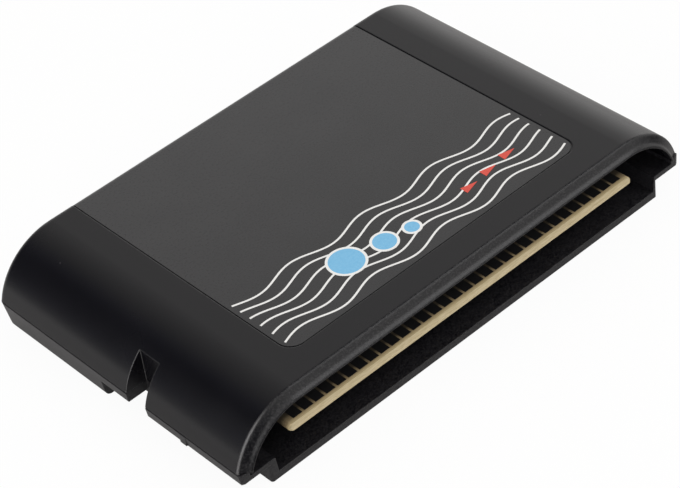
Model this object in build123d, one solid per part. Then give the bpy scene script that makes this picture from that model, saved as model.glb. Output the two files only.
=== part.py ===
from build123d import *
import math
import os

# Plug-in game cartridge. Millimetres, +Z up out of the labelled face, the mouth faces -Y, the spine +Y.
# The origin is the middle of the underside.

# Case, outside
width = 108.5
depth = 67.5
height = 16.5
parting_height = 6.0        # the two shells meet here
end_radius = 14.4           # rounded ends, tangent to the flat top
spine_radius = 1.5          # rounding along the spine's edge
draft_angle = 7.0           # the rear shell narrows towards the floor
floor_edge_radius = 1.4
rear_set_back = 0.7         # the rear shell's front edges lie this far behind the mouth's lip
rear_corner_radius = 0.5    # the floor's front corners
strip_bevel_in = 0.8        # front edges of the side strips
strip_bevel_back = 0.45
shadow_height = 0.2         # fine groove above the parting line, behind the lip
shadow_depth = 0.35

# Walls
shell_wall = 2.2
rear_wall = 3.8
floor_wall = 1.5
lip_height = 1.2            # locating lip on the rear shell
lip_clearance = 0.2

# Bevelled lip round the mouth, from the outside to its front edge
crease_back = 1.55          # the bevel starts this far behind the front edge
crease_radius = 0.3
bevel_back = 0.7            # the bevel's inner edge
bevel_in = 1.45
edge_in = 2.0               # the lip's front edge

# Stepped lower corners beside the mouth
rebate_width = 6.2
rebate_height = 3.95
rebate_length = 38.3
rebate_plate = 0.95
rebate_wall = 1.45          # behind the step
left_web = 1.4              # inner walls of the steps, at their tops; they thicken towards the floor
right_web = 0.6
web_lean = 0.5

# Lock notch in the left end
notch_from_mouth = 25.4
notch_width = 5.2
notch_depth = 4.65
notch_wall = 1.6

# Label and its recess
label_half_width = 35.3
label_from_mouth = 7.4
label_drop = 7.0            # how far it folds down the spine
label_corner = 3.0
label_thickness = 0.15
label_gap = 0.25
recess_depth = 0.2

# Circuit board
board_thickness = 1.6
board_top = 8.1
board_set_back = 1.3        # board's edge behind the front of the mouth
board_half_width = 46.5
board_from_spine = 9.2
board_corner = 0.8
board_edge_bevel = 0.5
tongue_half_width = 42.1
board_clearance = 0.3

# Edge contacts
contact_count = 32
contact_pitch = 2.54
contact_width = 2.0
contact_length = 9.0
contact_thickness = 0.06
contact_set_back = 1.25     # from the board's edge

# Inner walls and ribs that hold the board
mouth_depth = 14.8
bulkhead_wall = 1.6
rib_wall = 1.4
rib_from_spine = 14.0
rib_half_length = 30.0

# Screws and their posts
screw_x = 38.0
screw_from_spine = 21.0
post_radius = 4.4
post_top = 8.6              # rear post and front boss meet here
screw_radius = 1.3
screw_tip = 12.6
screw_hole_clearance = 0.1
screw_tip_clearance = 0.5
head_radius = 2.5
head_height = 1.7
head_bevel = 0.85
head_seat = 3.0             # height of the seat above the underside
head_clearance = 0.4
drive_width = 0.7
drive_length = 3.0
drive_depth = 0.9

# Packages on the board
memory_size = (28.2, 13.3, 2.5)
memory_place = (-10.0, 4.0)
memory_lead_count = 22     # on each side
logic_size = (9.9, 3.9, 1.5)
logic_place = (22.0, -4.0)
logic_lead_count = 8
lead_pitch = 1.27
lead_width = 0.42
lead_thickness = 0.2
lead_reach = 1.4            # how far each lead stands out of its package
lead_foot = 0.7
package_stand_off = 0.15
package_bevel = 0.25

# Small parts on the board
can_headroom = 1.2          # between the can and the front shell's ceiling
can_length = 7.0
can_edge = 0.4
can_place = (18.0, 8.0)
can_lead_radius = 0.3
can_lead_spread = 2.0
can_lead_reach = 2.2
chip_part_size = (2.0, 1.25, 0.9)
chip_part_bevel = 0.12
bypass_places = ((-29.0, 4.0), (14.0, -4.0), (30.0, -4.0))
pull_up_places = ((8.0, -9.0), (12.0, -9.0), (16.0, -9.0), (20.0, -9.0))

# Derived places
side = width / 2
front = -depth / 2
back = depth / 2
rear_front = front + rear_set_back
crease_y = front + crease_back
bevel_y = front + bevel_back
end_z = height - end_radius
end_reach = math.sqrt(end_radius**2 - (parting_height - end_z)**2)
end_x = side - end_reach
ceiling = height - shell_wall
can_radius = (ceiling - board_top - can_headroom) / 2
board_front = front + board_set_back
board_back = back - board_from_spine
board_bottom = board_top - board_thickness
bulkhead_front = front + mouth_depth
bulkhead_back = bulkhead_front + bulkhead_wall
shoulder = bulkhead_back + board_clearance
rib_y = back - rib_from_spine
screw_y = back - screw_from_spine
notch_front = front + notch_from_mouth
notch_back = notch_front + notch_width
notch_floor = -side + notch_depth
rebate_inner = side - rebate_width
rebate_top = rebate_height + rebate_plate
rebate_back = front + rebate_length
label_front = front + label_from_mouth
label_foot = height - label_drop
over = 1.0                  # how far a cutting solid runs past what it cuts
near = 0.05                 # how closely an edge is found by its place


def block(x_range, y_range, z_range):
    """A box between two values on each axis."""
    size = [high - low for low, high in (x_range, y_range, z_range)]
    middle = [(low + high) / 2 for low, high in (x_range, y_range, z_range)]
    return Pos(*middle) * Box(*size)


def post(x, y, z_range, radius):
    """An upright round post."""
    low, high = z_range
    return Pos(x, y, (low + high) / 2) * Cylinder(radius, high - low)


def end_reach_at(inset, z):
    """Half width of the rounded section at one height, moved inwards by inset."""
    return end_x + math.sqrt((end_radius - inset)**2 - (z - end_z)**2)


def case_section(inset):
    """Cross-section of the front shell: flat top and round ends, moved inwards by inset."""
    radius = end_radius - inset
    start = math.degrees(math.asin((parting_height - end_z) / radius))
    right = CenterArc((end_x, end_z), radius, start, 90 - start)
    left = mirror(right, about=Plane.YZ)
    top = Line(right @ 1, left @ 1)
    base = Line(left @ 0, right @ 0)
    return make_face([right, top, left, base])


def section_plane(y):
    """Plane of X and Z at one Y."""
    return Plane(origin=(0, y, 0), x_dir=(1, 0, 0), z_dir=(0, -1, 0))


def run_back(section, y_from, y_to):
    """A section drawn in X and Z, run from one Y to another."""
    return extrude(section_plane(y_from) * section, amount=y_to - y_from, dir=(0, 1, 0))


def slope_between(inset_from, y_from, inset_to, y_to):
    """A straight slope from one inset of the section to another."""
    ends = [section_plane(y_from) * case_section(inset_from), section_plane(y_to) * case_section(inset_to)]
    return loft(ends, ruled=True)


def rim_edges(solid, y):
    """Edges of the rounded outline that lie at one Y."""
    at_y = solid.edges().filter_by_position(Axis.Y, y - near, y + near)
    return at_y.filter_by(lambda edge: edge.center().Z > parting_height + near)


def front_outside():
    """Outer form of the front shell: rounded spine edge, and a lip of two slopes round the mouth."""
    solid = run_back(case_section(0), crease_y, back)
    solid = fillet(rim_edges(solid, back), spine_radius)
    solid += slope_between(0, crease_y, bevel_in, bevel_y)
    solid = fillet(rim_edges(solid, crease_y), crease_radius)
    return solid + slope_between(bevel_in, bevel_y, edge_in, front)


def label_core(lift):
    """Solid under the label, its top and spine moved outwards from the recess floor by lift."""
    drop = recess_depth - lift
    reach = label_half_width
    solid = block((-reach, reach), (label_front, back - drop), (label_foot, height - drop))
    edge = solid.edges().filter_by(Axis.X).sort_by(Axis.Y)[-2:].sort_by(Axis.Z)[-1]
    return fillet(edge, spine_radius - drop)


def label_field(gap):
    """Everything above the label's outline, which has round corners on the face and down the spine."""
    reach = label_half_width - gap
    y_from = label_front + gap
    z_from = label_foot + gap
    solid = block((-reach, reach), (y_from, back + over), (z_from, height + over))
    face_corners = solid.edges().filter_by(Axis.Z).sort_by(Axis.Y)[:2]
    spine_corners = solid.edges().filter_by(Axis.Y).sort_by(Axis.Z)[:2]
    return fillet(list(face_corners) + list(spine_corners), label_corner)


def label_layer(gap, thickness):
    """A layer that lies on the recess floor and folds over the spine's edge."""
    return (label_core(thickness) & label_field(gap)) - label_core(0)


def notch_block(wall, z_range):
    """Room of the lock notch, grown by a wall inwards and to both sides."""
    return block((-side - over, notch_floor + wall), (notch_front - wall, notch_back + wall), z_range)


def front_bulkhead():
    """Wall behind the mouth, from the ceiling to the board, and past the tongue to the parting line."""
    clear = tongue_half_width + board_clearance
    wall = block((-side, side), (bulkhead_front, bulkhead_back), (parting_height, height))
    slot_y = (bulkhead_front - over, bulkhead_back + over)
    slot = block((-clear, clear), slot_y, (parting_height - over, board_top))
    return wall - slot


def shadow_groove():
    """Fine groove round the front shell's foot, which draws a dark line where the shells meet."""
    z_range = (parting_height - over, parting_height + shadow_height)
    reach = side - shadow_depth
    core = block((-reach, reach), (front, back - shadow_depth), z_range)
    back_corners = core.edges().filter_by(Axis.Z).sort_by(Axis.Y)[-2:]
    core = fillet(back_corners, spine_radius - shadow_depth)
    return block((-side - over, side + over), (crease_y, back + over), z_range) - core


def front_shell():
    outside = front_outside()
    hollow = run_back(case_section(shell_wall), front - over, back - shell_wall)
    inside = front_bulkhead() + notch_block(notch_wall, (parting_height, height))
    inside += block((-rib_half_length, rib_half_length), (rib_y, rib_y + rib_wall), (board_top, height))
    for x in (-screw_x, screw_x):
        inside += post(x, screw_y, (post_top, height), post_radius)
    solid = outside - hollow + (inside & outside)
    solid -= notch_block(0, (parting_height - over, height + over))
    pilot_z = (post_top - over, screw_tip + screw_tip_clearance)
    for x in (-screw_x, screw_x):
        solid -= post(x, screw_y, pilot_z, screw_radius + screw_hole_clearance)
    recess = label_field(0) - label_core(0)
    return solid - recess - shadow_groove()


def tray(inset, bottom):
    """Form of the rear shell from the parting line down, its ends and back leaning in towards the floor."""
    lean = (parting_height - bottom) * math.tan(math.radians(draft_angle))
    reach = side - inset
    reach_back = back - inset
    across = Polyline(
        (-reach, parting_height),
        (reach, parting_height),
        (reach - lean, bottom),
        (lean - reach, bottom),
        close=True,
    )
    along = Polyline(
        (front, parting_height),
        (reach_back, parting_height),
        (reach_back - lean, bottom),
        (front, bottom),
        close=True,
    )
    lengthwise = extrude(Plane.YZ * make_face(along), side, both=True)
    return run_back(make_face(across), rear_front, back) & lengthwise


def rear_outside():
    """Outer form of the rear shell: round upright corners and floor edges."""
    solid = tray(0, 0)
    uprights = solid.edges().filter_by(lambda edge: edge.bounding_box().size.Z > parting_height - near)
    solid = fillet(uprights.sort_by(Axis.Y)[-2:], spine_radius)
    floor_face = solid.faces().sort_by(Axis.Z)[0]
    floor_edges = floor_face.edges().filter_by(lambda edge: edge.center().Y > rear_front + near)
    return fillet(floor_edges, floor_edge_radius)


def strip_bevel(sign):
    """What the bevel takes off the front edge of one side strip."""
    plan = Polyline(
        (sign * (side - strip_bevel_in), rear_front),
        (sign * side, rear_front + strip_bevel_back),
        (sign * (side + over), rear_front + strip_bevel_back),
        (sign * (side + over), rear_front - over),
        (sign * (side - strip_bevel_in), rear_front - over),
        close=True,
    )
    return extrude(make_face(plan), parting_height + over, dir=(0, 0, 1))


def locating_lip():
    """Low rim that stands inside the front shell's wall along the spine and both ends."""
    lip_top = parting_height + lip_height
    reach = end_reach_at(shell_wall, lip_top) - lip_clearance
    lip_y = (bulkhead_back + lip_clearance, back - shell_wall - lip_clearance)
    outer = block((-reach, reach), lip_y, (0, lip_top))
    inner = block((-side + rear_wall, side - rear_wall), (front, back - rear_wall), (-over, height))
    above = block((-side, side), (front, back), (parting_height - over, height))
    return ((outer - inner) & above) - notch_block(notch_wall + lip_clearance, (0, height))


def corner_step(sign, web):
    """Walls that close the stepped corner on one side; the inner wall leans out towards the floor."""
    top_x = rebate_inner - web
    wall = Polyline(
        (sign * top_x, rebate_top),
        (sign * (top_x - web_lean), 0),
        (sign * side, 0),
        (sign * side, rebate_top),
        close=True,
    )
    return run_back(make_face(wall), rear_front, rebate_back + rebate_wall)


def corner_cut(sign):
    """Room of the stepped corner on one side, with the floor's front corner rounded."""
    x_range = sorted((sign * rebate_inner, sign * (side + over)))
    room = block(x_range, (front - over, rebate_back), (-over, rebate_height))
    corner_x = sorted((sign * rebate_inner, sign * (rebate_inner - rear_corner_radius)))
    corner = block(corner_x, (front, rear_front + rear_corner_radius), (-over, rebate_height))
    centre = (sign * (rebate_inner - rear_corner_radius), rear_front + rear_corner_radius)
    return room + (corner - post(*centre, (-over, rebate_height), rear_corner_radius))


def rear_bulkhead():
    """Wall behind the mouth that carries the board, and past the tongue ends at the parting line."""
    low = block((-side, side), (bulkhead_front, bulkhead_back), (0, parting_height))
    reach = tongue_half_width
    return low + block((-reach, reach), (bulkhead_front, bulkhead_back), (0, board_bottom))


def rear_shell():
    outside = rear_outside()
    inside = rear_bulkhead() + notch_block(notch_wall, (rebate_height, parting_height))
    inside += block((-rib_half_length, rib_half_length), (rib_y, rib_y + rib_wall), (0, parting_height))
    for sign, web in ((-1, left_web), (1, right_web)):
        inside += corner_step(sign, web)
    reach = end_reach_at(edge_in, parting_height)
    mouth_room = block((-reach, reach), (front, bulkhead_front), (rebate_top, parting_height))
    solid = outside - tray(rear_wall, floor_wall) - mouth_room + (inside & outside)
    solid += rear_bulkhead() + locating_lip()
    solid += block((-rib_half_length, rib_half_length), (rib_y, rib_y + rib_wall), (floor_wall, board_bottom))
    for sign in (-1, 1):
        solid -= corner_cut(sign) + strip_bevel(sign)
        solid += post(sign * screw_x, screw_y, (floor_wall, post_top), post_radius)
        solid -= post(sign * screw_x, screw_y, (-over, head_seat), head_radius + head_clearance)
        solid -= post(sign * screw_x, screw_y, (0, post_top + over), screw_radius + screw_hole_clearance)
    return solid - notch_block(0, (-over, parting_height + over))


def label():
    return label_layer(label_gap, label_thickness)


def circuit_board():
    z_range = (board_bottom, board_top)
    tongue = block((-tongue_half_width, tongue_half_width), (board_front, shoulder + over), z_range)
    corners = tongue.edges().filter_by(Axis.Z).sort_by(Axis.Y)[:2]
    tongue = fillet(corners, board_corner)
    tips = tongue.faces().sort_by(Axis.Y)[0].edges().filter_by(Axis.X)
    tongue = chamfer(tips, board_edge_bevel)
    solid = tongue + block((-board_half_width, board_half_width), (shoulder, board_back), z_range)
    for x in (-screw_x, screw_x):
        solid -= post(x, screw_y, (board_bottom - over, board_top + over), post_radius + board_clearance)
    return solid


def contact_row(z_low):
    """One side's row of contact pads."""
    y_range = (board_front + contact_set_back, board_front + contact_set_back + contact_length)
    first = -(contact_count - 1) / 2 * contact_pitch
    centres = [first + index * contact_pitch for index in range(contact_count)]
    half = contact_width / 2
    pads = [block((x - half, x + half), y_range, (z_low, z_low + contact_thickness)) for x in centres]
    return Compound(pads)


def package_body(size, place):
    """Moulded package with bevelled top and bottom edges, a little above the board."""
    z_middle = board_top + package_stand_off + size[2] / 2
    solid = Pos(place[0], place[1], z_middle) * Box(*size)
    rims = solid.faces().sort_by(Axis.Z)[0].edges() + solid.faces().sort_by(Axis.Z)[-1].edges()
    return chamfer(rims, package_bevel)


def gull_wing(size, sign):
    """One lead in Y and Z: out of the package's side, down, and flat on the board."""
    root = size[1] / 2
    knee = root + lead_reach - lead_foot
    end = root + lead_reach
    exit_height = package_stand_off + size[2] / 2
    outline = Polyline(
        (root, exit_height),
        (knee, exit_height),
        (knee, lead_thickness),
        (end, lead_thickness),
        (end, 0),
        (knee - lead_thickness, 0),
        (knee - lead_thickness, exit_height - lead_thickness),
        (root, exit_height - lead_thickness),
        close=True,
    )
    plane = Plane(origin=(0, 0, 0), x_dir=(0, sign, 0), z_dir=(sign, 0, 0))
    return extrude(plane * make_face(outline), lead_width / 2, both=True)


def package_leads(size, place, count):
    """Leads along both long sides of a package."""
    first = -(count - 1) / 2 * lead_pitch
    leads = []
    for sign in (-1, 1):
        wing = gull_wing(size, sign)
        for index in range(count):
            leads.append(Pos(place[0] + first + index * lead_pitch, place[1], board_top) * wing)
    return Compound(leads)


def supply_capacitor():
    """Aluminium can that lies on the board."""
    half = can_length / 2
    outline = Polyline(
        (-half, 0),
        (-half, can_radius - can_edge),
        (-half + can_edge, can_radius),
        (half - can_edge, can_radius),
        (half, can_radius - can_edge),
        (half, 0),
        close=True,
    )
    can = revolve(make_face(outline), Axis.X)
    return Pos(can_place[0], can_place[1], board_top + can_radius) * can


def supply_capacitor_leads():
    """Two wires from the can's sealed end, bent down to the board."""
    start_x = can_place[0] + can_length / 2
    bend_x = start_x + can_lead_reach
    axis_height = board_top + can_radius
    wires = []
    for sign in (-1, 1):
        y = can_place[1] + sign * can_lead_spread / 2
        path = Polyline((start_x, y, axis_height), (bend_x, y, axis_height), (bend_x, y, board_top))
        profile = Plane(origin=(start_x, y, axis_height), z_dir=(1, 0, 0)) * Circle(can_lead_radius)
        wires.append(sweep(profile, path=path, transition=Transition.RIGHT))
    return Compound(wires)


def chip_parts(places):
    """Small two-ended chip parts that lie on the board."""
    z_middle = board_top + chip_part_size[2] / 2
    solids = []
    for x, y in places:
        chip = Pos(x, y, z_middle) * Box(*chip_part_size)
        solids.append(chamfer(chip.edges().filter_by(Axis.Y), chip_part_bevel))
    return Compound(solids)


def shell_screws():
    """Two pan-head screws with a cross drive, driven up from the underside."""
    head_low = head_seat - head_height
    screws = []
    for x in (-screw_x, screw_x):
        head = post(x, screw_y, (head_low, head_seat), head_radius)
        head = chamfer(head.edges().sort_by(Axis.Z)[0], head_bevel)
        shank = post(x, screw_y, (head_low, screw_tip), screw_radius)
        drive_z = (head_low - over, head_low + drive_depth)
        long_y = (screw_y - drive_length / 2, screw_y + drive_length / 2)
        short_y = (screw_y - drive_width / 2, screw_y + drive_width / 2)
        drive = block((x - drive_width / 2, x + drive_width / 2), long_y, drive_z)
        drive += block((x - drive_length / 2, x + drive_length / 2), short_y, drive_z)
        screws.append(head + shank - drive)
    return Compound(screws)


pieces = {
    "front_shell": front_shell(),
    "rear_shell": rear_shell(),
    "label": label(),
    "circuit_board": circuit_board(),
    "upper_contacts": contact_row(board_top),
    "lower_contacts": contact_row(board_bottom - contact_thickness),
    "memory_chip": package_body(memory_size, memory_place),
    "memory_chip_leads": package_leads(memory_size, memory_place, memory_lead_count),
    "logic_chip": package_body(logic_size, logic_place),
    "logic_chip_leads": package_leads(logic_size, logic_place, logic_lead_count),
    "supply_capacitor": supply_capacitor(),
    "supply_capacitor_leads": supply_capacitor_leads(),
    "bypass_capacitors": chip_parts(bypass_places),
    "pull_up_resistors": chip_parts(pull_up_places),
    "shell_screws": shell_screws(),
}
os.makedirs("parts", exist_ok=True)
for name, solid in pieces.items():
    export_step(solid, f"parts/{name}.step")
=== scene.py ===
import bpy
import bmesh
import math
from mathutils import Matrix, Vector


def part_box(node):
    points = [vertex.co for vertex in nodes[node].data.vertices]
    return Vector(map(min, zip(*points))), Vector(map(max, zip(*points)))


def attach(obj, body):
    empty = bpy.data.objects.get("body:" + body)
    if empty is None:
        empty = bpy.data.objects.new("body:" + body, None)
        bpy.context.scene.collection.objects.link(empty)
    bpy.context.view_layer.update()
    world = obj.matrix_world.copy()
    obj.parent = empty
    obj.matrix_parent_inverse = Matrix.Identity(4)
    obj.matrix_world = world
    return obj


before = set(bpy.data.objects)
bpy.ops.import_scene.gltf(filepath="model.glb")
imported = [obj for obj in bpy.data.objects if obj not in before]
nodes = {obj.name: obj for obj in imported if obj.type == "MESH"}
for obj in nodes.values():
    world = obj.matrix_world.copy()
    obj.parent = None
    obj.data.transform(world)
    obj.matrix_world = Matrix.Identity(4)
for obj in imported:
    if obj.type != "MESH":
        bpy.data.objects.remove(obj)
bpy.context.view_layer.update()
mm = 0.001
print("frame loaded:", len(nodes), "pieces")


def linear(hexColour):
    # sRGB hex to the linear colour that the shaders take
    parts = [int(hexColour[i:i + 2], 16) / 255 for i in (1, 3, 5)]
    return [p / 12.92 if p <= 0.04045 else ((p + 0.055) / 1.055) ** 2.4 for p in parts] + [1.0]


def joinUp(tree, node, links):
    # links into a node; a source that is a node gives its first output in use
    for socket, source in links.items():
        if isinstance(source, bpy.types.Node):
            source = next(output for output in source.outputs if output.enabled)
        tree.links.new(source, node.inputs[socket])


def addNode(tree, kind, values=None, links=None, **settings):
    # one node with its settings, fixed values and incoming links
    node = tree.nodes.new(kind)
    for name, value in settings.items():
        setattr(node, name, value)
    for socket, value in (values or {}).items():
        node.inputs[socket].default_value = value
    joinUp(tree, node, links or {})
    return node


def newMaterial(name, **shaderValues):
    # a Principled surface and the part's own coordinates, in metres
    material = bpy.data.materials.new(name)
    material.use_nodes = True
    tree = material.node_tree
    shader = tree.nodes["Principled BSDF"]
    for socket, value in shaderValues.items():
        shader.inputs[socket.replace("_", " ")].default_value = value
    place = addNode(tree, "ShaderNodeTexCoord").outputs["Object"]
    return material, tree, shader, place


def perMm(size):
    # noise scale for a pattern whose grains are this many millimetres wide
    return 1 / (size * mm)


# Case plastic

caseFinish = {
    "black": "#08080C",
    "blackWorn": "#0C0B10",
    "fleckAndSheen": "#2B2A2C",        # the grain's tops, paler: grain tone and a painted glint
    "fleckAndSheenBelow": "#39383A",   # the same on the lower shell, paler still: a painted reflection of the floor
    "fleckShare": 0.90,
    "topsOnLip": {"From Min": 0.48, "From Max": 0.68},   # heights that count as the grain's tops: crisp here
    "topsBelow": {"From Min": 0.30, "From Max": 0.95},   # and even on the lower shell
    "dust": "#302E31",
    "rubbed": "#787778",       # painted highlight on the soft edges at the left end
    "rubbedShare": 0.9,
    "rubbedTurn": {"From Min": -0.25, "From Max": -0.45},   # Y of an edge's normal where the painted highlight sets in
    "rubbedStop": {"From Min": -0.80, "From Max": -0.65},   # and where it ends: front walls stay black
    "rubbedLeft": {"From Min": -0.30, "From Max": -0.55},   # X of the normal: only at the left end
    "rubbedBehind": (-0.60, -0.45),   # mm from the lip's line: the lip's lower slope stays black
    "ior": 1.5,
    "specular": 0.48,
    "mottle": 9.0,             # mm, slow change of shade
    "grain": 0.34,             # mm; the mould's grain is nearer 0.1, drawn coarser so that it shows
    "grainFade": 0.15,         # mm over which the grain ends
    "edgeRadius": 0.30,        # mm, soft edges left by the mould
    "edgeSamples": 6,
    "lipRadius": 0.70,         # mm, the same on the lip, whose slopes run into each other
    "faceRoughness": {"To Min": 0.24, "To Max": 0.29},
    "grainRoughness": {"To Min": 0.25, "To Max": 0.38},
    "faceRelief": 0.0025,      # mm
    "grainRelief": 0.036,      # mm
    "lipDepth": 1.75,          # mm from the front edge to where the grain ends
    "dustCell": 7.0,           # mm between dust specks
    "dustSize": 0.15,          # mm
}


def mouldedAbs(name, grainedBefore, lipLine, fleckAndSheen, topsRange, rubbedShare):
    # ABS moulded in a polished tool: a near-black satin skin that mirrors the room softly. Where the tool
    # was spark eroded, forward of one Y, it has a fine even grain and a duller, greyer look.
    look = caseFinish
    material, tree, shader, place = newMaterial(name, IOR=look["ior"], Specular_IOR_Level=look["specular"])
    axes = addNode(tree, "ShaderNodeSeparateXYZ", links={0: place})
    grainEnds = {"From Min": grainedBefore, "From Max": grainedBefore + look["grainFade"] * mm,
                 "To Min": 1.0, "To Max": 0.0}
    grained = addNode(tree, "ShaderNodeMapRange", grainEnds, {"Value": axes.outputs["Y"]})
    mottle = addNode(tree, "ShaderNodeTexNoise", {"Scale": perMm(look["mottle"]), "Detail": 4.0},
                     {"Vector": place})
    grain = addNode(tree, "ShaderNodeTexNoise", {"Scale": perMm(look["grain"]), "Detail": 2.0},
                    {"Vector": place})

    shade = addNode(tree, "ShaderNodeMix", {"A": linear(look["black"]), "B": linear(look["blackWorn"])},
                    {"Factor": mottle}, data_type="RGBA")
    tops = addNode(tree, "ShaderNodeMapRange", {**topsRange, "To Max": look["fleckShare"]}, {"Value": grain})
    flecked = addNode(tree, "ShaderNodeMath", links={0: tops, 1: grained}, operation="MULTIPLY")
    # paler grain tops: grain tone, with a painted sheen
    skin = addNode(tree, "ShaderNodeMix", {"B": linear(fleckAndSheen)}, {"Factor": flecked, "A": shade},
                   data_type="RGBA")
    cells = addNode(tree, "ShaderNodeTexVoronoi", {"Scale": perMm(look["dustCell"])}, {"Vector": place})
    speck = addNode(tree, "ShaderNodeMath", {1: look["dustSize"] / look["dustCell"]},
                    {0: cells.outputs["Distance"]}, operation="LESS_THAN")
    dusty = addNode(tree, "ShaderNodeMix", {"B": linear(look["dust"])}, {"Factor": speck, "A": skin},
                    data_type="RGBA")

    smoothGloss = addNode(tree, "ShaderNodeMapRange", look["faceRoughness"], {"Value": mottle})
    grainGloss = addNode(tree, "ShaderNodeMapRange", look["grainRoughness"], {"Value": grain})
    gloss = addNode(tree, "ShaderNodeMix", links={"Factor": grained, "A": smoothGloss, "B": grainGloss})

    reliefs = {"To Min": look["faceRelief"] * mm, "To Max": look["grainRelief"] * mm}
    depth = addNode(tree, "ShaderNodeMapRange", reliefs, {"Value": grained})
    radii = {"From Min": lipLine, "From Max": lipLine + look["lipRadius"] * mm,
             "To Min": look["lipRadius"] * mm, "To Max": look["edgeRadius"] * mm}
    radius = addNode(tree, "ShaderNodeMapRange", radii, {"Value": axes.outputs["Y"]})
    edges = addNode(tree, "ShaderNodeBevel", links={"Radius": radius}, samples=look["edgeSamples"])
    bump = addNode(tree, "ShaderNodeBump", links={"Height": grain, "Distance": depth, "Normal": edges})

    # painted highlight: pale lines along the soft edges that turn to the left and the front
    turned = addNode(tree, "ShaderNodeSeparateXYZ", links={0: edges})
    behindFrom, behindTo = [lipLine + step * mm for step in look["rubbedBehind"]]
    rub = addNode(tree, "ShaderNodeMapRange", {**look["rubbedTurn"], "To Max": rubbedShare},
                  {"Value": turned.outputs["Y"]})
    for limits, along in ((look["rubbedStop"], turned.outputs["Y"]),
                          (look["rubbedLeft"], turned.outputs["X"]),
                          ({"From Min": behindFrom, "From Max": behindTo}, axes.outputs["Y"])):
        within = addNode(tree, "ShaderNodeMapRange", limits, {"Value": along})
        rub = addNode(tree, "ShaderNodeMath", links={0: rub, 1: within}, operation="MULTIPLY")
    rim = addNode(tree, "ShaderNodeMix", {"B": linear(look["rubbed"])}, {"Factor": rub, "A": dusty},
                  data_type="RGBA")
    joinUp(tree, shader, {"Base Color": rim, "Roughness": gloss, "Normal": bump})
    return material


# Label paper and inks

labelFinish = {
    "grey": "#252526",
    "greyLight": "#2C2C2E",
    "greyPaintedSheen": "#303032",    # the same two near the spine, lighter there: painted sheen
    "greyLightPaintedSheen": "#373738",
    "ior": 1.5,
    "specular": 0.62,
    "fibre": 0.42,             # mm; fibres are finer, drawn coarser so that they show
    "cloud": 12.0,             # mm
    "cloudShare": 0.35,
    "spread": {"From Min": 0.35, "From Max": 0.65},   # part of the noise that runs from grey to grey
    "roughness": {"To Min": 0.25, "To Max": 0.31},
    "relief": 0.005,           # mm
    "inkRoughness": {"To Min": 0.45, "To Max": 0.58},
}


def printedLabelPaper(labelFront, labelBack):
    # Coated paper printed dark grey under a satin film, with a faint mottle; a painted sheen lightens
    # it towards the spine.
    look = labelFinish
    material, tree, shader, place = newMaterial("filmCoatedLabelPaper", IOR=look["ior"],
                                                Specular_IOR_Level=look["specular"])
    fibre = addNode(tree, "ShaderNodeTexNoise", {"Scale": perMm(look["fibre"]), "Detail": 3.0},
                    {"Vector": place})
    cloud = addNode(tree, "ShaderNodeTexNoise", {"Scale": perMm(look["cloud"]), "Detail": 2.0},
                    {"Vector": place})
    both = addNode(tree, "ShaderNodeMix", {"Factor": look["cloudShare"]}, {"A": fibre, "B": cloud})
    spread = addNode(tree, "ShaderNodeMapRange", look["spread"], {"Value": both})
    axes = addNode(tree, "ShaderNodeSeparateXYZ", links={0: place})
    # painted sheen: the grey lightens towards the spine
    paintedSheen = addNode(tree, "ShaderNodeMapRange", {"From Min": labelFront, "From Max": labelBack},
                    {"Value": axes.outputs["Y"]})
    deep = addNode(tree, "ShaderNodeMix", {"A": linear(look["grey"]), "B": linear(look["greyPaintedSheen"])},
                   {"Factor": paintedSheen}, data_type="RGBA")
    light = addNode(tree, "ShaderNodeMix", {"A": linear(look["greyLight"]),
                    "B": linear(look["greyLightPaintedSheen"])}, {"Factor": paintedSheen}, data_type="RGBA")
    shade = addNode(tree, "ShaderNodeMix", links={"Factor": spread, "A": deep, "B": light}, data_type="RGBA")
    gloss = addNode(tree, "ShaderNodeMapRange", look["roughness"], {"Value": fibre})
    bump = addNode(tree, "ShaderNodeBump", {"Distance": look["relief"] * mm}, {"Height": fibre})
    joinUp(tree, shader, {"Base Color": shade, "Roughness": gloss, "Normal": bump})
    return material


def screenInk(name, colour, shadeColour):
    # Ink laid through a screen: a thin film, even in colour, with the paper's fibre just showing.
    look = labelFinish
    material, tree, shader, place = newMaterial(name, IOR=look["ior"])
    fibre = addNode(tree, "ShaderNodeTexNoise", {"Scale": perMm(look["fibre"]), "Detail": 3.0},
                    {"Vector": place})
    shade = addNode(tree, "ShaderNodeMix", {"A": linear(shadeColour), "B": linear(colour)},
                    {"Factor": fibre}, data_type="RGBA")
    gloss = addNode(tree, "ShaderNodeMapRange", look["inkRoughness"], {"Value": fibre})
    joinUp(tree, shader, {"Base Color": shade, "Roughness": gloss})
    return material


# Board

noiseSpread = {"From Min": 0.3, "From Max": 0.7}   # part of the noise that runs from dark shade to light
boardFinish = {
    "face": "#C4AE88",
    "faceDark": "#A58F69",
    "rubbed": "#2A2825",       # painted shade, deeper in the mouth under the case's lip
    "sawn": "#CFC09D",
    "sawnDark": "#B7A67F",
    "bareStripPaintedLight": "#DCC799",         # bare strip behind the bevel, drawn paler: painted light under the lip
    "ior": 1.52,
    "bareFrom": (0.45, 0.60),  # mm behind the edge
    "edgeDepth": (0.7, 1.35),  # mm over which the pale edge fades into the face
    "rubDepth": (0.95, 2.8),   # mm over which the painted shade sets in
    "rub": 0.92,
    "fibreLength": 2.4,        # mm
    "fibreWidth": 0.28,        # mm
    "roughness": {"To Min": 0.42, "To Max": 0.72},   # of the face, and where it was sawn
    "relief": 0.02,            # mm
}


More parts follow.
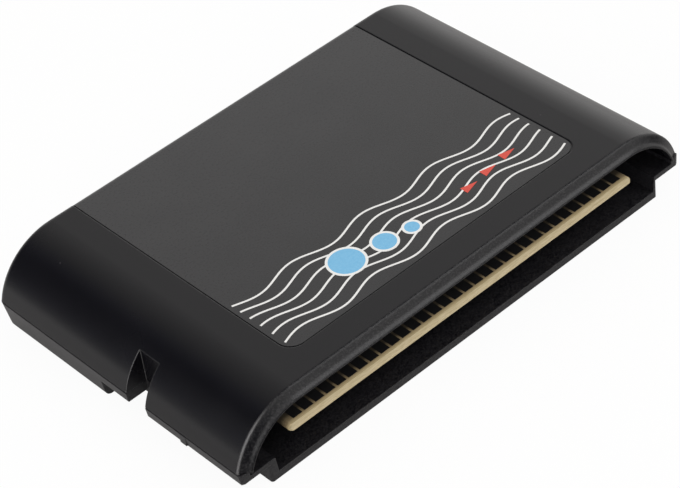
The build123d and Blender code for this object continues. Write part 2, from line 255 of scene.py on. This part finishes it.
def phenolicLaminate(boardFront):
    # Paper laminate pressed with resin: tan and satin on its face, paler and dry where the edge was sawn.
    look = boardFinish
    material, tree, shader, place = newMaterial("sawnPaperLaminate", IOR=look["ior"])
    fromFront = addNode(tree, "ShaderNodeSeparateXYZ", links={0: place}).outputs["Y"]
    (edgeFrom, edgeTo), (bareFrom, bareTo), (rubFrom, rubTo) = (
        [boardFront + depth * mm for depth in look[key]] for key in ("edgeDepth", "bareFrom", "rubDepth"))
    length, width = perMm(look["fibreLength"]), perMm(look["fibreWidth"])
    along = addNode(tree, "ShaderNodeMapping", {"Scale": (length, width, width)}, {"Vector": place})
    fibre = addNode(tree, "ShaderNodeTexNoise", {"Scale": 1.0, "Detail": 4.0}, {"Vector": along})
    spread = addNode(tree, "ShaderNodeMapRange", noiseSpread, {"Value": fibre})

    face = addNode(tree, "ShaderNodeMix", {"A": linear(look["faceDark"]), "B": linear(look["face"])},
                   {"Factor": spread}, data_type="RGBA")
    # painted shade: the face darkens deeper behind the edge, under the lip
    rub = addNode(tree, "ShaderNodeMapRange", {"From Min": rubFrom, "From Max": rubTo,
                  "To Max": look["rub"]}, {"Value": fromFront})
    faceWithPaintedShade = addNode(tree, "ShaderNodeMix", {"B": linear(look["rubbed"])}, {"Factor": rub, "A": face},
                   data_type="RGBA")
    cut = addNode(tree, "ShaderNodeMix", {"A": linear(look["sawnDark"]), "B": linear(look["sawn"])},
                  {"Factor": spread}, data_type="RGBA")
    # painted light: the bare strip behind the bevel is drawn paler
    bareStripPaintedLight = addNode(tree, "ShaderNodeMapRange", {"From Min": bareFrom, "From Max": bareTo},
                   {"Value": fromFront})
    edge = addNode(tree, "ShaderNodeMix", {"B": linear(look["bareStripPaintedLight"])}, {"Factor": bareStripPaintedLight, "A": cut},
                   data_type="RGBA")
    sawn = addNode(tree, "ShaderNodeMapRange", {"From Min": edgeFrom, "From Max": edgeTo,
                   "To Min": 1.0, "To Max": 0.0}, {"Value": fromFront})
    shade = addNode(tree, "ShaderNodeMix", links={"Factor": sawn, "A": faceWithPaintedShade, "B": edge}, data_type="RGBA")
    gloss = addNode(tree, "ShaderNodeMapRange", look["roughness"], {"Value": sawn})
    bump = addNode(tree, "ShaderNodeBump", {"Distance": look["relief"] * mm}, {"Height": fibre})
    joinUp(tree, shader, {"Base Color": shade, "Roughness": gloss, "Normal": bump})
    return material


# Fittings

def finishOf(name, look):
    # A material whose two shades, gloss and relief all follow one grain. Each look below says what it is,
    # with its grain and relief in mm.
    material, tree, shader, place = newMaterial(name, **look["surface"])
    scale = [perMm(look["grain"]) / s for s in look.get("stretch", (1.0, 1.0, 1.0))]
    laid = addNode(tree, "ShaderNodeMapping", {"Scale": scale}, {"Vector": place})
    grain = addNode(tree, "ShaderNodeTexNoise", {"Scale": 1.0, "Detail": 4.0}, {"Vector": laid})
    spread = addNode(tree, "ShaderNodeMapRange", noiseSpread, {"Value": grain})
    shade = addNode(tree, "ShaderNodeMix", {"A": linear(look["dark"]), "B": linear(look["light"])},
                    {"Factor": spread}, data_type="RGBA")
    gloss = addNode(tree, "ShaderNodeMapRange", look["roughness"], {"Value": spread})
    bump = addNode(tree, "ShaderNodeBump", {"Distance": look["relief"] * mm}, {"Height": grain})
    joinUp(tree, shader, {"Base Color": shade, "Roughness": gloss, "Normal": bump})
    return material


# Carbon paste printed over copper: dull black with a soft granular skin.
carbonLook = {"surface": {"IOR": 1.5}, "dark": "#0B0B0D", "light": "#131214", "grain": 0.18,
              "roughness": {"To Min": 0.5, "To Max": 0.65}, "relief": 0.008}
# Epoxy moulded round a chip: charcoal, fine grained and dry.
epoxyLook = {"surface": {"IOR": 1.5}, "dark": "#18181A", "light": "#242426", "grain": 0.22,
             "roughness": {"To Min": 0.55, "To Max": 0.68}, "relief": 0.012}
# Copper alloy dipped in tin: a pale metal with a soft, slightly uneven shine.
tinLook = {"surface": {"Metallic": 1.0}, "dark": "#B9B8B2", "light": "#D8D7D0", "grain": 0.25,
           "roughness": {"To Min": 0.28, "To Max": 0.42}, "relief": 0.006}
# Aluminium drawn into a can: faint lines along its length.
aluminiumLook = {"surface": {"Metallic": 1.0}, "dark": "#B4B7BA", "light": "#D2D4D6", "grain": 0.12,
                 "stretch": (18.0, 1.0, 1.0), "roughness": {"To Min": 0.24, "To Max": 0.38}, "relief": 0.004}
# Fired ceramic, unglazed: brown and dry.
ceramicLook = {"surface": {"IOR": 1.5}, "dark": "#7C6148", "light": "#967A5E", "grain": 0.2,
               "roughness": {"To Min": 0.5, "To Max": 0.65}, "relief": 0.006}
# Resistive film glazed over ceramic: glassy black.
filmLook = {"surface": {"IOR": 1.5}, "dark": "#121214", "light": "#1C1C1F", "grain": 0.3,
            "roughness": {"To Min": 0.18, "To Max": 0.3}, "relief": 0.003}
# Steel plated with zinc: bright grey with a bluish cast and a cloudy grain.
zincLook = {"surface": {"Metallic": 1.0}, "dark": "#9FA3A8", "light": "#C4C7CA", "grain": 0.5,
            "roughness": {"To Min": 0.28, "To Max": 0.45}, "relief": 0.006}


def dress(names, material):
    for name in names:
        node = nodes[name]
        node.data.materials.clear()
        node.data.materials.append(material)


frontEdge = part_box("front_shell")[0].y
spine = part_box("front_shell")[1].y
lipLine = frontEdge + caseFinish["lipDepth"] * mm
noLip = frontEdge - caseFinish["lipRadius"] * mm   # so far forward that the lower shell has small radii only
dress(["front_shell"], mouldedAbs("satinMouldedAbs", lipLine, lipLine, caseFinish["fleckAndSheen"],
                                  caseFinish["topsOnLip"], caseFinish["rubbedShare"]))
dress(["rear_shell"], mouldedAbs("sparkErodedAbs", spine, noLip, caseFinish["fleckAndSheenBelow"],
                                 caseFinish["topsBelow"], 0.0))
labelLow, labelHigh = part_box("label")
dress(["label"], printedLabelPaper(labelLow.y, labelHigh.y))
dress(["circuit_board"], phenolicLaminate(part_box("circuit_board")[0].y))
dress(["upper_contacts", "lower_contacts"], finishOf("screenPrintedCarbon", carbonLook))
dress(["memory_chip", "logic_chip"], finishOf("mouldedEpoxy", epoxyLook))
dress(["memory_chip_leads", "logic_chip_leads", "supply_capacitor_leads"], finishOf("dippedTin", tinLook))
dress(["supply_capacitor"], finishOf("drawnAluminium", aluminiumLook))
dress(["bypass_capacitors"], finishOf("firedCeramic", ceramicLook))
dress(["pull_up_resistors"], finishOf("glazedResistorFilm", filmLook))
dress(["shell_screws"], finishOf("zincPlatedSteel", zincLook))
print("materials on the case, label, board and fittings")


# Print on the label: a band of wave lines with discs and darts, all ink films on the paper

band = {
    "halfWidth": 34.2,         # mm, from the label's middle
    "backEdge": 16.6,          # mm behind the label's front edge
    "frontEdge": 1.3,
    "film": 0.03,              # mm of ink
    "overlap": 0.004,          # mm that each ink lies above the one before it
    "waves": 6,
    "waveLength": 17.1,        # mm
    "waveHeight": 1.0,         # mm either side
    "waveShift": 0.55,         # radians from one line to the next
    "lineWidth": 0.40,         # mm
    "steps": 120,
    "discs": ((-13.5, 9.3, 3.3), (-5.6, 8.0, 2.2), (0.2, 7.1, 1.4)),   # mm: X, behind the front edge, radius
    "outline": 0.5,            # mm of white round a disc
    "circleSteps": 48,
    "darts": ((13.0, 7.0), (18.5, 7.7), (24.0, 8.4)),   # mm: X, behind the front edge
    "dartLength": 3.4,
    "dartWidth": 1.9,
    "white": ("#F4F4F2", "#E4E4E2"),   # each ink, and its shade in the paper's fibres
    "blue": ("#86C3E6", "#6BB1DC"),
    "red": ("#E2594B", "#CF4639"),
}
inkLow = labelHigh.z
inkHigh = [inkLow + (band["film"] + k * band["overlap"]) * mm for k in range(3)]   # lines, outlines, colours


def addRibbon(mesh, centreLine, width, low, high):
    # a flat band of one width along a line, as a closed solid
    rows = []
    for i, point in enumerate(centreLine):
        before = centreLine[max(i - 1, 0)]
        after = centreLine[min(i + 1, len(centreLine) - 1)]
        run = (after - before).normalized()
        side = Vector((-run.y, run.x)) * width / 2
        corners = ((point + side, high), (point - side, high), (point - side, low), (point + side, low))
        rows.append([mesh.verts.new((p.x, p.y, z)) for p, z in corners])
    for near, far in zip(rows, rows[1:]):
        for k in range(4):
            mesh.faces.new((near[k], near[(k + 1) % 4], far[(k + 1) % 4], far[k]))
    mesh.faces.new(rows[0])
    mesh.faces.new(rows[-1][::-1])


def addPatch(mesh, outline, low, high):
    # a flat convex shape, as a closed solid
    top = [mesh.verts.new((p.x, p.y, high)) for p in outline]
    base = [mesh.verts.new((p.x, p.y, low)) for p in outline]
    mesh.faces.new(top)
    mesh.faces.new(base[::-1])
    for i in range(len(outline)):
        j = (i + 1) % len(outline)
        mesh.faces.new((top[i], base[i], base[j], top[j]))


def inkPiece(name, mesh, material):
    bmesh.ops.recalc_face_normals(mesh, faces=mesh.faces)
    data = bpy.data.meshes.new(name)
    mesh.to_mesh(data)
    mesh.free()
    data.materials.append(material)
    piece = bpy.data.objects.new(name, data)
    bpy.context.scene.collection.objects.link(piece)
    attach(piece, "root")


def onLabel(x, fromFront):
    return Vector((x * mm, labelLow.y + fromFront * mm))


def circle(x, fromFront, radius):
    centre = onLabel(x, fromFront)
    turns = [2 * math.pi * i / band["circleSteps"] for i in range(band["circleSteps"])]
    return [centre + Vector((math.cos(t), math.sin(t))) * radius * mm for t in turns]


def waveLine(k):
    # the middle of one wave line, counted from the front
    room = band["backEdge"] - band["frontEdge"] - 2 * band["waveHeight"]
    middle = band["frontEdge"] + band["waveHeight"] + room * k / (band["waves"] - 1)
    line = []
    for i in range(band["steps"] + 1):
        x = band["halfWidth"] * (2 * i / band["steps"] - 1)
        swing = band["waveHeight"] * math.sin(2 * math.pi * x / band["waveLength"] + k * band["waveShift"])
        line.append(onLabel(x, middle + swing))
    return line


lines = bmesh.new()
for k in range(band["waves"]):
    addRibbon(lines, waveLine(k), band["lineWidth"] * mm, inkLow, inkHigh[0])
for x, fromFront, radius in band["discs"]:
    addPatch(lines, circle(x, fromFront, radius + band["outline"]), inkLow, inkHigh[1])
inkPiece("label_print_lines", lines, screenInk("whiteScreenInk", *band["white"]))

discs = bmesh.new()
for x, fromFront, radius in band["discs"]:
    addPatch(discs, circle(x, fromFront, radius), inkLow, inkHigh[2])
inkPiece("label_print_discs", discs, screenInk("blueScreenInk", *band["blue"]))

darts = bmesh.new()
for x, fromFront in band["darts"]:
    corners = ((band["dartLength"], 0), (0, band["dartWidth"] / 2), (0, -band["dartWidth"] / 2))
    addPatch(darts, [onLabel(x + dx, fromFront + dy) for dx, dy in corners], inkLow, inkHigh[2])
inkPiece("label_print_darts", darts, screenInk("redScreenInk", *band["red"]))
print("label print: lines, discs and darts")


# Floor, room and lamps

studio = {
    "floorSize": 6.0,          # metres
    "floorSink": 0.02,         # mm below the object's foot
    "floorRoughness": 0.9,
    "floorWhite": "#F6F6F6",
    "floorTooth": "#F1F1F1",
    "toothSize": 1.2,          # mm
    "floorMirrored": "#BEBCBB",   # the floor as the case mirrors it
    "floorFront": "#303030",   # the same in front of the object, where the room is dark
    "frontFrom": -34.0,        # mm, Y where that starts
    "frontTo": -50.0,
    "farFrom": 90.0,           # mm from the object, where the mirrored floor whitens
    "farTo": 220.0,
    "glowSeen": 0.94,          # share of plain white in the floor as seen; the rest takes the shadow
    "glowMirrored": 0.12,      # the same in a mirrored view
    "dimTint": "#C4CCFF",      # the dimmest parts of the room are a little blue
    "tintTo": 0.28,            # level at which they are white again
    "warmWhite": "#FFFDFB",
    "fill": 0.80,              # the room's light on dull surfaces
}
# dim parts of the room, which the glossy case mirrors: which way, and how many degrees from there it is
# dimmest and white
dimSpots = {
    "cornerBehindLeft": {"towards": (-0.57, 0.63, 0.53), "dimTo": 13.0, "whiteFrom": 88.0, "level": 0.03},
    "ceilingAtFront": {"towards": (0.47, -0.14, 0.87), "dimTo": 20.0, "whiteFrom": 40.0, "level": 0.08},
    "lowInFront": {"towards": (-0.30, -0.94, -0.10), "dimTo": 16.0, "whiteFrom": 38.0, "level": 0.05},
}


def mirrorRays(tree, path):
    # 1 for rays that a gloss or a clear body sends on
    return addNode(tree, "ShaderNodeMath", links={0: path.outputs["Is Glossy Ray"],
                   1: path.outputs["Is Transmission Ray"]}, operation="MAXIMUM")


def paperSweep():
    # Matt white background paper: bright all over, with a soft contact shadow under the object.
    material, tree, shader, place = newMaterial("mattWhiteSweep", Roughness=studio["floorRoughness"])
    path = addNode(tree, "ShaderNodeLightPath")
    mirrored = mirrorRays(tree, path)
    axes = addNode(tree, "ShaderNodeSeparateXYZ", links={0: place})
    inFront = addNode(tree, "ShaderNodeMapRange", {"From Min": studio["frontFrom"] * mm,
                      "From Max": studio["frontTo"] * mm}, {"Value": axes.outputs["Y"]})
    away = addNode(tree, "ShaderNodeVectorMath", links={0: place}, operation="LENGTH")
    far = addNode(tree, "ShaderNodeMapRange", {"From Min": studio["farFrom"] * mm,
                  "From Max": studio["farTo"] * mm}, {"Value": away})
    tooth = addNode(tree, "ShaderNodeTexNoise", {"Scale": perMm(studio["toothSize"]), "Detail": 2.0},
                    {"Vector": place})
    plain = addNode(tree, "ShaderNodeMix", {"A": linear(studio["floorTooth"]),
                    "B": linear(studio["floorWhite"])}, {"Factor": tooth}, data_type="RGBA")
    ground = addNode(tree, "ShaderNodeMix", {"A": linear(studio["floorMirrored"]),
                     "B": linear(studio["floorWhite"])}, {"Factor": far}, data_type="RGBA")
    dimmed = addNode(tree, "ShaderNodeMix", {"B": linear(studio["floorFront"])},
                     {"Factor": inFront, "A": ground}, data_type="RGBA")
    shade = addNode(tree, "ShaderNodeMix", links={"Factor": mirrored, "A": plain, "B": dimmed},
                    data_type="RGBA")
    joinUp(tree, shader, {"Base Color": shade})

    reach = addNode(tree, "ShaderNodeMapRange", {"To Min": studio["glowMirrored"], "To Max": 0.0},
                    {"Value": inFront})
    faint = addNode(tree, "ShaderNodeMath", links={0: mirrored, 1: reach}, operation="MULTIPLY")
    share = addNode(tree, "ShaderNodeMath", {1: studio["glowSeen"]},
                    {0: path.outputs["Is Camera Ray"], 2: faint}, operation="MULTIPLY_ADD")
    glow = addNode(tree, "ShaderNodeEmission", {"Strength": 1.0})
    mixed = addNode(tree, "ShaderNodeMixShader", links={0: share, 1: shader, 2: glow})
    joinUp(tree, tree.nodes["Material Output"], {"Surface": mixed})
    return material


def whiteRoom():
    # White all round to the eye and to dull surfaces; the black case mirrors its dim parts as well.
    world = bpy.data.worlds.new("whiteRoom")
    world.use_nodes = True
    tree = world.node_tree
    tree.nodes.clear()
    path = addNode(tree, "ShaderNodeLightPath")
    towards = addNode(tree, "ShaderNodeTexCoord").outputs["Generated"]
    level = None
    for spot in dimSpots.values():
        facing = addNode(tree, "ShaderNodeVectorMath", {1: Vector(spot["towards"]).normalized()},
                         {0: towards}, operation="DOT_PRODUCT")
        angle = addNode(tree, "ShaderNodeMath", links={0: facing}, operation="ARCCOSINE")
        rise = addNode(tree, "ShaderNodeMapRange", {"From Min": math.radians(spot["dimTo"]),
                       "From Max": math.radians(spot["whiteFrom"]), "To Min": spot["level"]},
                       {"Value": angle})
        if level is None:
            level = rise
        else:
            level = addNode(tree, "ShaderNodeMath", links={0: level, 1: rise}, operation="MULTIPLY")
    mirrored = mirrorRays(tree, path)
    lit = addNode(tree, "ShaderNodeMix", {"A": studio["fill"]}, {"Factor": mirrored, "B": level})
    seen = addNode(tree, "ShaderNodeMath", links={0: path.outputs["Is Camera Ray"], 1: lit},
                   operation="MAXIMUM")
    clear = addNode(tree, "ShaderNodeMapRange", {"From Max": studio["tintTo"]}, {"Value": seen})
    tint = addNode(tree, "ShaderNodeMix", {"A": linear(studio["dimTint"]), "B": linear(studio["warmWhite"])},
                   {"Factor": clear}, data_type="RGBA")
    walls = addNode(tree, "ShaderNodeBackground", links={"Color": tint, "Strength": seen})
    addNode(tree, "ShaderNodeOutputWorld", links={"Surface": walls})
    return world


half = studio["floorSize"] / 2
floorData = bpy.data.meshes.new("floor")
floorCorners = [(-half, -half, 0), (half, -half, 0), (half, half, 0), (-half, half, 0)]
floorData.from_pydata(floorCorners, [], [(0, 1, 2, 3)])
floorData.materials.append(paperSweep())
floor = bpy.data.objects.new("floor", floorData)
floor.location.z = -studio["floorSink"] * mm
bpy.context.scene.collection.objects.link(floor)
bpy.context.scene.world = whiteRoom()

# metres and watts: one high in front, for the lip's lower slope, and a large one at the left, for that end
softboxes = {
    "softboxFront": {"place": (0.58, -0.66, 0.80), "wide": 0.50, "tall": 0.50, "power": 2.2},
    "softboxLeft": {"place": (-1.05, -0.12, 0.48), "wide": 1.50, "tall": 0.90, "power": 5.5},
}
for name, box in softboxes.items():
    lamp = bpy.data.lights.new(name, "AREA")
    lamp.shape = "RECTANGLE"
    lamp.size = box["wide"]
    lamp.size_y = box["tall"]
    lamp.energy = box["power"]
    stand = bpy.data.objects.new(name, lamp)
    stand.location = box["place"]
    stand.rotation_euler = (-Vector(box["place"])).to_track_quat("-Z", "Y").to_euler()
    bpy.context.scene.collection.objects.link(stand)
print("floor, room and softboxes")


# Camera, from the photograph's perspective

view = {
    "place": (-203.067, -260.847, 284.965),   # mm
    "turn": (49.1623, 6.1782, -43.0232),      # degrees about X, Y, Z
    "lens": 125.509,                          # mm
    "sensor": 36.0,                           # mm, the image's width
    "nearest": 0.01,                          # metres
}
cameraData = bpy.data.cameras.new("camera")
cameraData.sensor_width = view["sensor"]
cameraData.sensor_fit = "HORIZONTAL"
cameraData.lens = view["lens"]
cameraData.clip_start = view["nearest"]
camera = bpy.data.objects.new("camera", cameraData)
camera.location = [v * mm for v in view["place"]]
camera.rotation_euler = [math.radians(v) for v in view["turn"]]
bpy.context.scene.collection.objects.link(camera)
bpy.context.scene.camera = camera
bpy.context.scene.view_settings.view_transform = "Standard"
print("camera placed")

bpy.context.view_layer.update()
